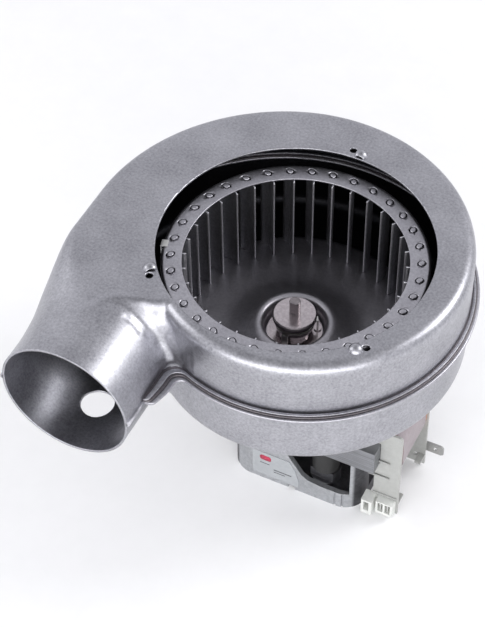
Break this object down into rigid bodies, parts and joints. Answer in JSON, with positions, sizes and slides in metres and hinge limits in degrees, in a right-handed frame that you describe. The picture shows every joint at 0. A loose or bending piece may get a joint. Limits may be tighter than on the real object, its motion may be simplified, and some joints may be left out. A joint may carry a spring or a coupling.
{
  "type": "flue gas exhaust fan",
  "caption": "Boiler flue exhaust fan: stamped steel scroll with round side outlet, forward-curved blower wheel and shaded-pole motor underneath.",
  "frame": {"origin": "centre of the inlet opening on the shaft axis, at the cover's outer face", "axes": "+Z along the shaft out of the inlet, outlet blows along -Y on the -X side, coil end of the motor along +X"},
  "size_m": [0.1745, 0.1857, 0.1407],
  "materials": {
    "housing_sheet": "aluminised steel sheet, satin, fine grain",
    "wheel_sheet": "aluminised steel sheet, slightly darker inside",
    "turned_steel": "turned steel with tool marks",
    "plated_steel": "zinc-plated steel",
    "cast_grey": "die-cast aluminium, sand-grey",
    "laminations": "black varnished laminations",
    "white_plastic": "moulded glass-filled nylon",
    "copper": "bare copper strap",
    "winding_wire": "enamelled copper wire",
    "coil_tape": "thin insulating tape",
    "rubber_black": "black rubber",
    "felt_grey": "dense felt",
    "sintered_bronze": "oil-filled sintered bronze",
    "rotor_aluminium": "cast rotor aluminium",
    "tin_plate": "tinned brass tab",
    "label_film": "blank label with a plain colour patch"
  },
  "bodies": {
    "housing": {"bearing_retainers": "plated_steel", "coil_bobbin": "white_plastic", "coil_tape": "coil_tape", "coil_winding": "winding_wire", "connector_block": "white_plastic", "connector_pins": "tin_plate", "earth_tab": "tin_plate", "lower_bearing": "sintered_bronze", "lower_housing": "housing_sheet", "lower_shield": "cast_grey", "lower_spacers": "rubber_black", "motor_bracket": "plated_steel", "motor_nuts": "plated_steel", "motor_screws": "plated_steel", "mount_grommets": "rubber_black", "mount_nuts": "plated_steel", "mount_screws": "plated_steel", "rating_label": "label_film", "seal_plate": "plated_steel", "seal_rivets": "rotor_aluminium", "shading_rings": "copper", "shaft_seal": "felt_grey", "spade_terminal": "tin_plate", "stator_core": "laminations", "upper_bearing": "sintered_bronze", "upper_bearing_bridge": "cast_grey", "upper_housing": "housing_sheet", "upper_spacers": "plated_steel"},
    "rotor": {"motor_shaft": "turned_steel", "rotor_core": "laminations", "rotor_end_rings": "rotor_aluminium", "thrust_washers": "plated_steel", "retaining_clips": "plated_steel", "cooling_fan": "rotor_aluminium", "wheel_hub": "turned_steel", "hub_clip": "plated_steel", "wheel_backplate": "wheel_sheet", "hub_rivets": "turned_steel", "wheel_blades": "wheel_sheet", "wheel_top_ring": "wheel_sheet", "balance_clip": "plated_steel"}
  },
  "joints": [
    {"name": "wheel_spin", "type": "hinge", "parent": "housing", "child": "rotor", "pos_m": [0, 0, -0.08], "axis": [0, 0, 1], "continuous": true}
  ]
}
